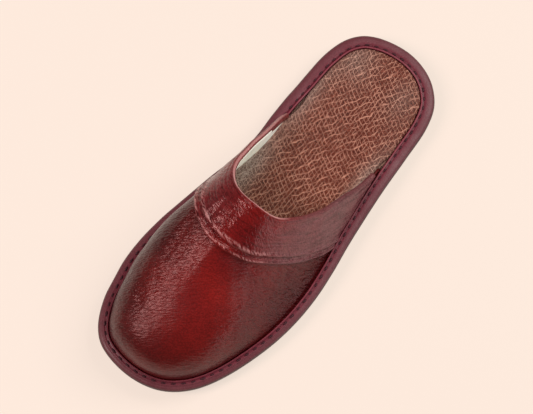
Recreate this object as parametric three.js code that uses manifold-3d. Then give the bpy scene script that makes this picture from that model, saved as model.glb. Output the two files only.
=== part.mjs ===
import * as THREE from 'three';
import { mergeVertices } from 'three/addons/utils/BufferGeometryUtils.js';
import Module from 'manifold-3d';

// Left leather slipper, in millimetres. +X is the outer side, the toe points to -Y, +Z is up.
// The origin is on the floor under the middle of the heel.
const soleLength = 280;
const ballWidth = 112;
const heelCentre = 40;
const instepHeight = 60;

const leatherThickness = 1.6;
const overlayThickness = 1.2;
const seatGap = 0.3;
const overlayGap = 0.8;

const outsoleHeel = 8;
const outsoleForefoot = 5.5;
const heelStep = 1.8;
const toeSpringHeight = 2.4;

const randHeight = 7.6;
const randLip = 1.4;
const randHeelWidth = 9.5;
const randToeWidth = 6.8;
const randUnderWidth = 8;
const randUnderThickness = 1.2;

const boardThickness = 2.8;
const flangeThickness = 1.3;
const flangeInset = 3;
const padRise = 2.8;
const padDish = 1.2;
const collarTurn = 1.6;

const treadPitch = 13;
const treadWidth = 2.4;
const treadDepth = 1.1;
const deckInset = 14;
const footbedEdge = 7;
const wingRoom = 2.3;
const upperRoom = 3;

// Outline of the sole: shares of soleLength and of ballWidth.
const outlineShape = [
  { along: 0.0, outer: 0.026, inner: -0.026 },
  { along: 0.0355, outer: 0.275, inner: 0.249 },
  { along: 0.071, outer: 0.348, inner: 0.313 },
  { along: 0.124, outer: 0.389, inner: 0.349 },
  { along: 0.213, outer: 0.405, inner: 0.36 },
  { along: 0.32, outer: 0.42, inner: 0.362 },
  { along: 0.39, outer: 0.436, inner: 0.357 },
  { along: 0.46, outer: 0.455, inner: 0.378 },
  { along: 0.53, outer: 0.48, inner: 0.417 },
  { along: 0.6, outer: 0.495, inner: 0.45 },
  { along: 0.67, outer: 0.491, inner: 0.481 },
  { along: 0.745, outer: 0.464, inner: 0.497 },
  { along: 0.8, outer: 0.428, inner: 0.492 },
  { along: 0.85, outer: 0.386, inner: 0.469 },
  { along: 0.887, outer: 0.346, inner: 0.449 },
  { along: 0.922, outer: 0.296, inner: 0.415 },
  { along: 0.957, outer: 0.22, inner: 0.362 },
  { along: 0.983, outer: 0.125, inner: 0.285 },
  { along: 1.0, outer: -0.076, inner: 0.076 },
];

// Thickness of the outsole, as shares of the way from the forefoot's to the heel's, and its lift off the floor.
const outsoleShape = [
  { along: 0.0, thick: 1.0, lift: 0.0 },
  { along: 0.3, thick: 0.9, lift: 0.0 },
  { along: 0.48, thick: 0.45, lift: 0.0 },
  { along: 0.66, thick: 0.0, lift: 0.0 },
  { along: 0.8, thick: 0.05, lift: 0.0 },
  { along: 0.9, thick: 0.1, lift: 0.25 },
  { along: 1.0, thick: 0.1, lift: 1.0 },
];

// Crown line of the last: sideways share of ballWidth, height share of instepHeight.
const crownShape = [
  { along: 0.0, across: -0.018, height: 1.0 },
  { along: 0.5, across: -0.03, height: 1.0 },
  { along: 0.565, across: -0.05, height: 0.98 },
  { along: 0.67, across: -0.085, height: 0.85 },
  { along: 0.76, across: -0.1, height: 0.715 },
  { along: 0.83, across: -0.1, height: 0.6 },
  { along: 0.89, across: -0.095, height: 0.5 },
  { along: 1.0, across: -0.09, height: 0.35 },
];

// How each side rises: lean inwards and rise at the sole, reach outwards at the crown.
const outerSide = [
  { along: 0.28, lean: 0.1, rise: 0.22, reach: 0.25 },
  { along: 0.45, lean: 0.12, rise: 0.2, reach: 0.27 },
  { along: 0.55, lean: 0.16, rise: 0.13, reach: 0.27 },
  { along: 0.67, lean: 0.16, rise: 0.16, reach: 0.3 },
  { along: 0.8, lean: 0.04, rise: 0.42, reach: 0.5 },
  { along: 0.9, lean: 0.0, rise: 0.6, reach: 0.6 },
  { along: 1.0, lean: 0.0, rise: 0.62, reach: 0.62 },
];
const innerSide = [
  { along: 0.28, lean: -0.12, rise: 0.5, reach: 0.7 },
  { along: 0.36, lean: -0.155, rise: 0.55, reach: 0.82 },
  { along: 0.43, lean: -0.19, rise: 0.58, reach: 0.89 },
  { along: 0.49, lean: -0.145, rise: 0.62, reach: 0.84 },
  { along: 0.55, lean: -0.08, rise: 0.7, reach: 0.7 },
  { along: 0.67, lean: -0.05, rise: 0.8, reach: 0.78 },
  { along: 0.8, lean: -0.02, rise: 0.7, reach: 0.72 },
  { along: 0.9, lean: 0.0, rise: 0.62, reach: 0.65 },
  { along: 1.0, lean: 0.0, rise: 0.62, reach: 0.62 },
];

// Collar and front seam of the overlay. The girth runs from -1 at the outer edge of the sole
// over 0 at the crown to 1 at the inner edge.
const collarCurve = [
  { along: 0.27, girth: -0.975 },
  { along: 0.322, girth: -0.875 },
  { along: 0.391, girth: -0.715 },
  { along: 0.454, girth: -0.598 },
  { along: 0.511, girth: -0.446 },
  { along: 0.554, girth: -0.292 },
  { along: 0.568, girth: 0.0 },
  { along: 0.556, girth: 0.24 },
  { along: 0.53, girth: 0.405 },
  { along: 0.495, girth: 0.508 },
  { along: 0.444, girth: 0.6 },
  { along: 0.391, girth: 0.7 },
  { along: 0.345, girth: 0.82 },
  { along: 0.303, girth: 0.955 },
];
const seamCurve = [
  { along: 0.49, girth: -0.945 },
  { along: 0.538, girth: -0.78 },
  { along: 0.588, girth: -0.625 },
  { along: 0.63, girth: -0.465 },
  { along: 0.663, girth: -0.305 },
  { along: 0.678, girth: 0.0 },
  { along: 0.662, girth: 0.2 },
  { along: 0.633, girth: 0.4 },
  { along: 0.6, girth: 0.62 },
  { along: 0.56, girth: 0.8 },
  { along: 0.525, girth: 0.93 },
];

const upperStations = { collar: 15, toe: 22, rows: 13 };
const overlayStations = { along: 46, across: 6 };
const randStations = 76;
const soleStations = 36;

const clamp = (value, low, high) => Math.min(high, Math.max(low, value));
const mix = (a, b, share) => a + (b - a) * share;
const ease = (low, high, value) => {
  const share = clamp((value - low) / (high - low), 0, 1);
  return share * share * (3 - 2 * share);
};

function curveValue(x, knots, values, slopes, index) {
  const span = knots[index + 1] - knots[index];
  const t = (x - knots[index]) / span;
  const square = t * t;
  const cube = square * t;
  return (
    (2 * cube - 3 * square + 1) * values[index] +
    (cube - 2 * square + t) * span * slopes[index] +
    (3 * square - 2 * cube) * values[index + 1] +
    (cube - square) * span * slopes[index + 1]
  );
}

// A smooth curve through one column of a table that never swings past its rows.
function columnOf(table, name) {
  const knots = table.map((row) => row.along);
  const values = table.map((row) => row[name]);
  const last = knots.length - 1;
  const rates = knots.slice(1).map((knot, i) => (values[i + 1] - values[i]) / (knot - knots[i]));
  const slopes = values.map((value, i) => {
    if (i === 0) return rates[0];
    if (i === last) return rates[last - 1];
    const product = rates[i - 1] * rates[i];
    return product <= 0 ? 0 : (2 * product) / (rates[i - 1] + rates[i]);
  });
  return (along) => {
    const x = clamp(along, knots[0], knots[last]);
    let index = 0;
    while (index < last - 1 && x > knots[index + 1]) index += 1;
    return curveValue(x, knots, values, slopes, index);
  };
}

// A smooth curve through points of the plane, from 0 at its first to 1 at its last.
const alongWeight = 2.5;
function pathOf(points) {
  const curve = new THREE.CatmullRomCurve3(
    points.map((point) => new THREE.Vector3(point.along * alongWeight, point.girth, 0)),
    false,
    'centripetal',
  );
  return (share) => {
    const point = curve.getPoint(share);
    return { along: point.x / alongWeight, girth: point.y };
  };
}

const turnOf = (along) => Math.acos(clamp(1 - 2 * along, -1, 1)) / Math.PI;
const alongOf = (turn) => (1 - Math.cos(Math.PI * turn)) / 2;

// The outline as one closed curve: 0 at the heel, 0.5 at the toe, back along the inner side to 1.
const outerKnots = outlineShape.map((row) => turnOf(row.along) / 2);
const outerValues = outlineShape.map((row) => row.outer);
const innerRows = outlineShape.slice(1, -1).reverse();
const loopKnots = outerKnots.concat(innerRows.map((row) => 1 - turnOf(row.along) / 2));
const loopValues = outerValues.concat(innerRows.map((row) => -row.inner));
const loopCount = loopKnots.length;
const loopKnot = (i) => loopKnots[(i + loopCount) % loopCount] + Math.floor(i / loopCount);
const loopValue = (i) => loopValues[(i + loopCount) % loopCount];

function acrossAt(around) {
  const place = around - Math.floor(around);
  let index = 0;
  while (index < loopCount - 1 && place >= loopKnots[index + 1]) index += 1;
  const knots = [-1, 0, 1, 2].map((step) => loopKnot(index + step));
  const values = [-1, 0, 1, 2].map((step) => loopValue(index + step));
  const rates = [0, 1, 2].map((i) => (values[i + 1] - values[i]) / (knots[i + 1] - knots[i]));
  const slopeAt = (i) => {
    const before = knots[i] - knots[i - 1];
    const after = knots[i + 1] - knots[i];
    return (rates[i - 1] * after + rates[i] * before) / (before + after);
  };
  return curveValue(place, knots, values, [0, slopeAt(1), slopeAt(2), 0], 1);
}

function rawOutline(around) {
  const forward = (soleLength * (1 - Math.cos(2 * Math.PI * around))) / 2;
  return new THREE.Vector2(acrossAt(around) * ballWidth, forward);
}

// A point of the outline, moved inwards: x sideways, y forward from the heel.
function outlinePoint(around, inset) {
  const step = 1e-4;
  const along = rawOutline(around + step).sub(rawOutline(around - step)).normalize();
  return rawOutline(around).add(new THREE.Vector2(-along.y, along.x).multiplyScalar(inset));
}

const outsoleThick = columnOf(outsoleShape, 'thick');
const outsoleLift = columnOf(outsoleShape, 'lift');
const liftAt = (forward) => outsoleLift(forward / soleLength) * toeSpringHeight;
function deckAt(forward) {
  return liftAt(forward) + mix(outsoleForefoot, outsoleHeel, outsoleThick(forward / soleLength));
}
// Where the upper ends towards the heel, on each side.
const wingStart = 0.27;
const heelOnly = (along) => 1 - ease(wingStart - 0.045, wingStart - 0.002, along);
const randWidth = (along) => mix(randHeelWidth, randToeWidth, ease(0.1, 0.72, along));

// The heights above the deck at which the layers lie on each other.
const boardBottom = seatGap + randUnderThickness + seatGap;
const boardTop = boardBottom + boardThickness;
const flangeBottom = boardTop + seatGap;
const flangeTop = flangeBottom + flangeThickness;
const lipDrop = flangeThickness + seatGap;

const crownAcross = columnOf(crownShape, 'across');
const crownHeight = columnOf(crownShape, 'height');
const sideShape = (table) => ({
  lean: columnOf(table, 'lean'),
  rise: columnOf(table, 'rise'),
  reach: columnOf(table, 'reach'),
});
const outerRise = sideShape(outerSide);
const innerRise = sideShape(innerSide);
const crownPoint = (along) =>
  new THREE.Vector3(
    crownAcross(along) * ballWidth,
    along * soleLength,
    crownHeight(along) * instepHeight,
  );
// The crown line stops short of the toe, where the sections fan out from its end.
const crownAlong = (along) => along - 0.115 * Math.pow(Math.max(0, (along - 0.67) / 0.33), 2);

// A point of the last's surface, with y forward and z above the top of the rand.
function lastPoint(girth, turn) {
  const along = alongOf(turn);
  const outer = girth < 0;
  const around = outer ? turn / 2 : 1 - turn / 2;
  const edge = outlinePoint(around, randWidth(along) + seatGap);
  const foot = new THREE.Vector3(edge.x, edge.y, flangeTop - randHeight - seatGap);
  const crownAt = crownAlong(along);
  const crown = crownPoint(crownAt);
  const ahead = crownPoint(crownAt + 1e-3);
  const behind = crownPoint(crownAt - 1e-3);
  const slope = (ahead.z - behind.z) / (ahead.y - behind.y);
  const side = outer ? outerRise : innerRise;
  const inward = new THREE.Vector3(crown.x - foot.x, crown.y - foot.y, 0);
  const low = foot.clone().addScaledVector(inward, side.lean(along));
  low.z += (crown.z - foot.z) * side.rise(along);
  const high = crown.clone().addScaledVector(inward, -side.reach(along));
  high.z = crown.z - slope * inward.y * side.reach(along);
  const t = 1 - Math.abs(girth);
  const s = 1 - t;
  return foot
    .multiplyScalar(s * s * s)
    .addScaledVector(low, 3 * t * s * s)
    .addScaledVector(high, 3 * t * t * s)
    .addScaledVector(crown, t * t * t);
}

function sideNormal(girth, turn) {
  const alongStep = 1e-3;
  const girthStep = 0.01;
  const forward = lastPoint(girth, turn + alongStep).sub(lastPoint(girth, turn - alongStep));
  const sideways = lastPoint(girth + girthStep, turn).sub(lastPoint(girth - girthStep, turn));
  return sideways.cross(forward).normalize().negate();
}

function lastNormal(girth, turn) {
  const clear = 0.03;
  if (Math.abs(girth) >= clear) return sideNormal(girth, turn);
  return sideNormal(-clear, turn).add(sideNormal(clear, turn)).normalize();
}

const skinPoint = (girth, turn, offset) =>
  lastPoint(girth, turn).addScaledVector(lastNormal(girth, turn), offset);

// From the last's frame (sideways, forward, above the rand) to the part's frame.
function placed(point) {
  const height = point.z + deckAt(point.y) + randHeight + seatGap;
  return new THREE.Vector3(point.x, heelCentre - point.y, height);
}
// The same for a point given by its height above the outsole.
function onDeck(plan, height) {
  return new THREE.Vector3(plan.x, heelCentre - plan.y, deckAt(plan.y) + height);
}

// Triangles between two rows of points. A swapped strip faces the other way.
function strip(triangles, first, second, swapped = false) {
  for (let i = 0; i + 1 < first.length; i += 1) {
    const [a, b, c, d] = [first[i], first[i + 1], second[i + 1], second[i]];
    if (swapped) triangles.push([a, c, b], [a, d, c]);
    else triangles.push([a, b, c], [a, c, d]);
  }
}

function closedGeometry(triangles) {
  const numbers = [];
  triangles.forEach((corners) => corners.forEach((p) => numbers.push(p.x, p.y, p.z)));
  const loose = new THREE.BufferGeometry();
  loose.setAttribute('position', new THREE.Float32BufferAttribute(numbers, 3));
  const welded = mergeVertices(loose, 1e-3);
  const index = welded.index.array;
  const kept = [];
  for (let i = 0; i < index.length; i += 3) {
    const [a, b, c] = [index[i], index[i + 1], index[i + 2]];
    if (a !== b && b !== c && c !== a) kept.push(a, b, c);
  }
  welded.setIndex(kept);
  return welded;
}

// A solid of sections across the shoe. Each half section runs from the middle of the underside
// round the edge to the middle of the top. A row of it is inset from the outline, or a share of
// the way from the innermost inset to the middle.
function soleSolid(halfSection) {
  const triangles = [];
  const halves = [];
  for (let i = 0; i <= soleStations; i += 1) {
    const turn = i / soleStations;
    const along = alongOf(turn);
    const rows = halfSection(along);
    const deepest = Math.max(...rows.map((row) => row.inset));
    const outerDeep = outlinePoint(turn / 2, deepest);
    const innerDeep = outlinePoint(1 - turn / 2, deepest);
    const middle = outerDeep.clone().add(innerDeep).multiplyScalar(0.5);
    const half = (around, deep) =>
      rows.map((row) => {
        const plan = outlinePoint(around, row.inset);
        if (row.middle) plan.copy(deep).lerp(middle, row.middle);
        const height = row.floor === undefined ? row.height : row.floor - deckAt(plan.y) + liftAt(plan.y);
        return onDeck(plan, height);
      });
    halves.push([half(turn / 2, outerDeep), half(1 - turn / 2, innerDeep)]);
  }
  for (let i = 0; i < soleStations; i += 1) {
    strip(triangles, halves[i][0], halves[i + 1][0]);
    strip(triangles, halves[i][1], halves[i + 1][1], true);
  }
  return closedGeometry(triangles);
}

// The outsole, with a step round its side, an arch and a heel step underneath
function outsoleSection(along) {
  const arch = ease(0.27, 0.285, along) * (1 - ease(0.46, 0.6, along)) * heelStep;
  const row = (inset, height) => ({ inset, height });
  return [
    { inset: deckInset, middle: 1, floor: arch },
    { inset: deckInset, floor: arch },
    { inset: 3.4, floor: arch },
    { inset: 2.2, floor: arch + 0.7 },
    row(1.9, -2.4),
    row(0.9, -1.9),
    row(0.7, -0.3),
    row(1.2, 0),
    row(deckInset, 0),
    { inset: deckInset, height: 0, middle: 1 },
  ];
}

// The insole: a board whose rim lies in the rand, and the padded footbed inside it
function insoleSection(along) {
  const besideUpper = mix(wingRoom, upperRoom, ease(0.29, 0.38, along));
  const pad = randWidth(along) + seatGap + mix(besideUpper, 0.1, heelOnly(along));
  const crest = boardTop + padRise;
  const row = (inset, height) => ({ inset, height });
  const inner = pad + footbedEdge;
  const dish = padDish * ease(0, 0.05, along) * ease(0, 0.05, 1 - along);
  return [
    { inset: inner, height: seatGap, middle: 1 },
    row(randUnderWidth + 0.4, seatGap),
    row(randUnderWidth + 0.4, boardBottom),
    row(2.6, boardBottom),
    row(1.9, boardBottom + 0.5),
    row(1.9, boardTop - 0.5),
    row(2.4, boardTop),
    row(pad, boardTop),
    row(pad + 0.2, crest - 1.1),
    row(pad + 1.8, crest - 0.2),
    row(inner, crest),
    { inset: inner, height: crest - 0.55 * dish, middle: 0.4 },
    { inset: inner, height: crest - dish, middle: 1 },
  ];
}

// The rand: a strip folded over the edge of the insole, with the upper's margin in it
function randSolid() {
  const triangles = [];
  const rings = [];
  for (let i = 0; i <= randStations; i += 1) {
    const around = i / randStations;
    const along = alongOf(around < 0.5 ? around * 2 : 2 - around * 2);
    const width = randWidth(along);
    const top = seatGap + randHeight - lipDrop * heelOnly(along);
    const under = top - randLip;
    const section = [
      [width, top - 0.5],
      [width - 0.6, top],
      [3.2, top - 0.05],
      [1.3, top - 0.6],
      [0.3, top - 1.8],
      [0, (top + seatGap) / 2],
      [0.4, seatGap + 1.2],
      [1.4, seatGap + 0.2],
      [2.6, seatGap],
      [randUnderWidth, seatGap],
      [randUnderWidth, seatGap + randUnderThickness],
      [2.4, seatGap + randUnderThickness],
      [1.6, seatGap + randUnderThickness + 0.7],
      [1.6, under - 0.7],
      [2.4, under],
      [width, under],
    ];
    section.push(section[0]);
    rings.push(section.map(([inset, height]) => onDeck(outlinePoint(around % 1, inset), height)));
  }
  for (let i = 0; i < randStations; i += 1) strip(triangles, rings[i], rings[i + 1], true);
  return closedGeometry(triangles);
}

const collarAt = pathOf(collarCurve);
const seamAt = pathOf(seamCurve);
// The share of a path's length at which it crosses the crown line.
function crownShare(path) {
  let [low, high] = [0, 1];
  for (let i = 0; i < 40; i += 1) {
    const middle = (low + high) / 2;
    if (path(middle).girth < 0) low = middle;
    else high = middle;
  }
  return low;
}
const collarCrown = crownShare(collarAt);
const seamCrown = crownShare(seamAt);
const throat = collarAt(collarCrown);
// The stretch of the collar that the overlay covers.
const bandStart = 0.05;
const bandEnd = 0.955;

// The upper: a shell from the margin under the rand over the last, open at the collar and below
function upperSolid() {
  const triangles = [];
  const stations = [];
  for (let i = 0; i <= upperStations.collar; i += 1) {
    stations.push({ share: i / upperStations.collar, toe: 0 });
  }
  for (let i = 1; i <= upperStations.toe; i += 1) {
    stations.push({ share: 1, toe: i / upperStations.toe });
  }
  const throatTurn = turnOf(throat.along);
  [-1, 1].forEach((side) => {
    const collarEnd = side < 0 ? 0 : 1;
    const tipTurn = turnOf(collarAt(collarEnd).along);
    const skins = stations.map(({ share, toe }) => {
      const edge = collarAt(mix(collarEnd, collarCrown, share));
      const topTurn = toe > 0 ? mix(throatTurn, 1, toe) : turnOf(edge.along);
      const topGirth = share === 1 ? 0 : Math.abs(edge.girth);
      const footTurn = toe > 0 ? topTurn : mix(tipTurn, throatTurn, share);
      const outside = [];
      const inside = [];
      for (let j = 0; j <= upperStations.rows; j += 1) {
        const up = j / upperStations.rows;
        const turn = mix(footTurn, topTurn, up);
        const girth = side * Math.max(1e-9, mix(1, topGirth, up));
        outside.push(placed(skinPoint(girth, turn, 0)));
        inside.push(placed(skinPoint(girth, turn, -leatherThickness)));
      }
      const around = side < 0 ? footTurn / 2 : 1 - footTurn / 2;
      const rim = outlinePoint(around, flangeInset);
      const footInside = inside[0].clone();
      footInside.z = onDeck(new THREE.Vector2(0, heelCentre - footInside.y), flangeBottom).z;
      outside.unshift(onDeck(rim, flangeTop));
      inside[0].copy(footInside);
      inside.unshift(onDeck(rim, flangeBottom));
      return { outside, inside, open: toe === 0 };
    });
    const swapped = side < 0;
    const top = upperStations.rows + 1;
    skins.slice(1).forEach((skin, i) => {
      const back = skins[i];
      strip(triangles, back.outside, skin.outside, !swapped);
      strip(triangles, back.inside, skin.inside, swapped);
      strip(triangles, [back.outside[0], back.inside[0]], [skin.outside[0], skin.inside[0]], swapped);
      if (skin.open) {
        strip(triangles, [back.outside[top], back.inside[top]], [skin.outside[top], skin.inside[top]], !swapped);
      }
    });
    strip(triangles, skins[0].outside, skins[0].inside, swapped);
  });
  return closedGeometry(triangles);
}

// The overlay across the instep, turned over the collar's edge to the inside
function overlaySolid() {
  const triangles = [];
  const chains = [];
  const near = overlayGap;
  const far = overlayGap + overlayThickness;
  const lining = -leatherThickness - overlayGap;
  for (let i = 0; i <= overlayStations.along; i += 1) {
    const share = i / overlayStations.along;
    const side = share * 2 - 1;
    const reach = (crown) => (side < 0 ? crown * (1 + side) : crown + (1 - crown) * side);
    const bandCrown = (collarCrown - bandStart) / (bandEnd - bandStart);
    const edgeShare = mix(bandStart, bandEnd, reach(bandCrown));
    const edge = collarAt(edgeShare);
    const seam = seamAt(reach(seamCrown));
    const outside = [];
    const inside = [];
    for (let j = 0; j <= overlayStations.across; j += 1) {
      const back = j / overlayStations.across;
      const turn = turnOf(mix(seam.along, edge.along, back));
      const girth = mix(seam.girth, edge.girth, back);
      outside.push(skinPoint(girth, turn, far));
      inside.push(skinPoint(girth, turn, near));
    }
    const edgeTurn = turnOf(edge.along);
    const root = lastPoint(edge.girth, edgeTurn);
    const normal = lastNormal(edge.girth, edgeTurn);
    const next = collarAt(edgeShare + 0.004);
    const before = collarAt(edgeShare - 0.004);
    const run = lastPoint(next.girth, turnOf(next.along)).sub(lastPoint(before.girth, turnOf(before.along)));
    const away = run.cross(normal).normalize();
    if (away.dot(root.clone().sub(inside[overlayStations.across - 1])) < 0) away.negate();
    const local = (offset, past) =>
      root.clone().addScaledVector(normal, offset).addScaledVector(away, past);
    const depth = Math.min(collarTurn, 0.5 * Math.max(0, root.z));
    outside.push(local(far, 0.5), local(far - 0.5, 1.3), local(-0.8, 1.7), local(lining - 0.6, 1.2));
    outside.push(local(lining - 1, 0), local(lining - 1, -depth));
    inside.push(local(near, 0.2), local(near - 0.2, 0.3), local(-0.8, 0.3), local(lining + 0.2, 0.3));
    inside.push(local(lining, 0), local(lining, -depth));
    chains.push([outside.map(placed), inside.map(placed)]);
  }
  const end = chains[0][0].length - 1;
  chains.slice(1).forEach(([outside, inside], i) => {
    const [backOutside, backInside] = chains[i];
    strip(triangles, backOutside, outside);
    strip(triangles, backInside, inside, true);
    strip(triangles, [backOutside[0], backInside[0]], [outside[0], inside[0]], true);
    strip(triangles, [backOutside[end], backInside[end]], [outside[end], inside[end]]);
  });
  strip(triangles, chains[0][0], chains[0][1], true);
  strip(triangles, chains[overlayStations.along][0], chains[overlayStations.along][1]);
  return closedGeometry(triangles);
}

const wasm = await Module();
wasm.setup();

function solidOf(geometry) {
  const bare = new THREE.BufferGeometry();
  bare.setAttribute('position', geometry.getAttribute('position'));
  if (geometry.index) bare.setIndex(geometry.index);
  const welded = mergeVertices(bare, 1e-4);
  const mesh = new wasm.Mesh({
    numProp: 3,
    vertProperties: new Float32Array(welded.getAttribute('position').array),
    triVerts: new Uint32Array(welded.index.array),
  });
  return new wasm.Manifold(mesh);
}

function geometryOf(solid) {
  const mesh = solid.getMesh();
  const geometry = new THREE.BufferGeometry();
  geometry.setAttribute('position', new THREE.Float32BufferAttribute(mesh.vertProperties, 3));
  geometry.setIndex(Array.from(mesh.triVerts));
  return geometry;
}

// Grooves across the underside, clear of the two places on which the shoe is measured
function groovedOutsole() {
  let solid = solidOf(soleSolid(outsoleSection));
  const runs = [
    { from: 0.08, to: 0.25 },
    { from: 0.62, to: 0.86 },
  ];
  runs.forEach(({ from, to }) => {
    const count = Math.floor(((to - from) * soleLength) / treadPitch);
    for (let i = 0; i <= count; i += 1) {
      const forward = from * soleLength + i * treadPitch;
      const bar = new THREE.BoxGeometry(ballWidth * 1.4, treadWidth, treadDepth * 2);
      bar.translate(0, heelCentre - forward, 0);
      solid = solid.subtract(solidOf(bar));
    }
  });
  return geometryOf(solid);
}

const slipper = new THREE.Group();
function addPiece(name, geometry, colour, roughness) {
  const material = new THREE.MeshStandardMaterial({ color: colour, roughness, metalness: 0 });
  const piece = new THREE.Mesh(geometry, material);
  piece.name = name;
  slipper.add(piece);
}

addPiece('outsole', groovedOutsole(), 0x241a18, 0.75);
addPiece('insole', soleSolid(insoleSection), 0x84492f, 0.5);
addPiece('rand', randSolid(), 0x6e3a42, 0.45);
addPiece('upper', upperSolid(), 0x65202a, 0.35);
addPiece('instep_band', overlaySolid(), 0x6a1f28, 0.35);

export default slipper;
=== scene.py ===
import math

import bmesh
import bpy
import numpy as np
from mathutils import Matrix, Vector


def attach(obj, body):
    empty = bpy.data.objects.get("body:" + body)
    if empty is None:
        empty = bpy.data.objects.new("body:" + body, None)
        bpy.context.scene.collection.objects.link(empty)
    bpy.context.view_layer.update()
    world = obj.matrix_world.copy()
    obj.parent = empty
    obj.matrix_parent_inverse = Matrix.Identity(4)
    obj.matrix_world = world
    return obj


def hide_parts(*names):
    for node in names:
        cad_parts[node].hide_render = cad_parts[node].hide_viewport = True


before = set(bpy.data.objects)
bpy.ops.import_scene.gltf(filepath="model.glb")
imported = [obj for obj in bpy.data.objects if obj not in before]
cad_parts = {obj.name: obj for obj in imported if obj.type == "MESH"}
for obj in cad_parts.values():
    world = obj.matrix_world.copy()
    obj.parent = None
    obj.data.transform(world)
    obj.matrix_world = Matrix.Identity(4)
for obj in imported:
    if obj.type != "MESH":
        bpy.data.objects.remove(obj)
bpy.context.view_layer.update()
print("stage: frame loaded")

# Shape of the last, in millimetres: x to the outer side, y forward from the heel, z up.
shoe = {
    "soleLength": 280.0,
    "ballWidth": 112.0,
    "heelCentre": 40.0,
    "instepHeight": 60.0,
    "leatherThickness": 1.6,
    "randTop": 7.9,
    "randHeelWidth": 9.5,
    "randToeWidth": 6.8,
    "outsoleHeel": 8.0,
    "outsoleForefoot": 5.5,
    "heelStep": 1.8,
    "toeSpring": 2.4,
    "seatGap": 0.3,
    "lastSink": 1.7,
}

# The first value of a row is its place along the sole, from the heel (0) to the toe (1).
# The sole's outer and inner edge, as shares of ballWidth.
outlineShape = [
    (0.0, 0.026, -0.026), (0.0355, 0.275, 0.249), (0.071, 0.348, 0.313),
    (0.124, 0.389, 0.349), (0.213, 0.405, 0.36), (0.32, 0.42, 0.362),
    (0.39, 0.436, 0.357), (0.46, 0.455, 0.378), (0.53, 0.48, 0.417),
    (0.6, 0.495, 0.45), (0.67, 0.491, 0.481), (0.745, 0.464, 0.497),
    (0.8, 0.428, 0.492), (0.85, 0.386, 0.469), (0.887, 0.346, 0.449),
    (0.922, 0.296, 0.415), (0.957, 0.22, 0.362), (0.983, 0.125, 0.285),
    (1.0, -0.076, 0.076),
]
# Thickness, as a share of the way from the forefoot's to the heel's, and lift, as a share of toeSpring.
outsoleShape = [
    (0.0, 1.0, 0.0), (0.3, 0.9, 0.0), (0.48, 0.45, 0.0), (0.66, 0.0, 0.0),
    (0.8, 0.05, 0.0), (0.9, 0.1, 0.25), (1.0, 0.1, 1.0),
]
# The last's crown line: sideways share of ballWidth and height share of instepHeight.
crownShape = [
    (0.0, -0.018, 1.0), (0.5, -0.03, 1.0), (0.565, -0.05, 0.98), (0.67, -0.085, 0.85),
    (0.76, -0.1, 0.715), (0.83, -0.1, 0.6), (0.89, -0.095, 0.5), (1.0, -0.09, 0.35),
]
# How each side rises: lean inwards and rise at the sole, reach outwards at the crown.
outerSide = [
    (0.28, 0.1, 0.22, 0.25), (0.45, 0.12, 0.2, 0.27), (0.55, 0.16, 0.13, 0.27),
    (0.67, 0.16, 0.16, 0.3), (0.8, 0.04, 0.42, 0.5), (0.9, 0.0, 0.6, 0.6),
    (1.0, 0.0, 0.62, 0.62),
]
innerSide = [
    (0.28, -0.12, 0.5, 0.7), (0.36, -0.155, 0.55, 0.82), (0.43, -0.19, 0.58, 0.89),
    (0.49, -0.145, 0.62, 0.84), (0.55, -0.08, 0.7, 0.7), (0.67, -0.05, 0.8, 0.78),
    (0.8, -0.02, 0.7, 0.72), (0.9, 0.0, 0.62, 0.65), (1.0, 0.0, 0.62, 0.62),
]
# Collar and seam of the band: girth runs from -1 at the sole's outer edge over 0 at the crown to 1.
collarCurve = [
    (0.27, -0.975), (0.322, -0.875), (0.391, -0.715), (0.454, -0.598), (0.511, -0.446),
    (0.554, -0.292), (0.568, 0.0), (0.556, 0.24), (0.53, 0.405), (0.495, 0.508),
    (0.444, 0.6), (0.391, 0.7), (0.345, 0.82), (0.303, 0.955),
]
seamCurve = [
    (0.485, -0.96), (0.538, -0.78), (0.588, -0.625), (0.63, -0.465), (0.663, -0.305),
    (0.678, 0.0), (0.662, 0.2), (0.633, 0.4), (0.6, 0.62), (0.56, 0.8), (0.525, 0.95),
]


def ease(low, high, value):
    share = np.clip((np.asarray(value, float) - low) / (high - low), 0, 1)
    return share * share * (3 - 2 * share)


def mix(a, b, share):
    return a + (b - a) * share


def hermite(t, span, a, b, slopeA, slopeB):
    return (
        (2 * t**3 - 3 * t**2 + 1) * a
        + (t**3 - 2 * t**2 + t) * span * slopeA
        + (3 * t**2 - 2 * t**3) * b
        + (t**3 - t**2) * span * slopeB
    )


# One column of a table as a smooth curve that never swings past its rows
def column(rows, number, along):
    knots = np.array([row[0] for row in rows], float)
    values = np.array([row[number] for row in rows], float)
    rates = np.diff(values) / np.diff(knots)
    slopes = np.zeros(len(knots))
    slopes[0], slopes[-1] = rates[0], rates[-1]
    for i in range(1, len(knots) - 1):
        product = rates[i - 1] * rates[i]
        slopes[i] = 0 if product <= 0 else 2 * product / (rates[i - 1] + rates[i])
    x = np.clip(np.asarray(along, float), knots[0], knots[-1])
    i = np.clip(np.searchsorted(knots, x, side="right") - 1, 0, len(knots) - 2)
    span = knots[i + 1] - knots[i]
    return hermite((x - knots[i]) / span, span, values[i], values[i + 1], slopes[i], slopes[i + 1])


def turnOf(along):
    return np.arccos(np.clip(1 - 2 * np.asarray(along, float), -1, 1)) / np.pi


def alongOf(turn):
    return (1 - np.cos(np.pi * np.asarray(turn, float))) / 2


loopKnots = np.array(
    [float(turnOf(row[0])) / 2 for row in outlineShape]
    + [1 - float(turnOf(row[0])) / 2 for row in outlineShape[-2:0:-1]]
)
loopValues = np.array([row[1] for row in outlineShape] + [-row[2] for row in outlineShape[-2:0:-1]])


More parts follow.
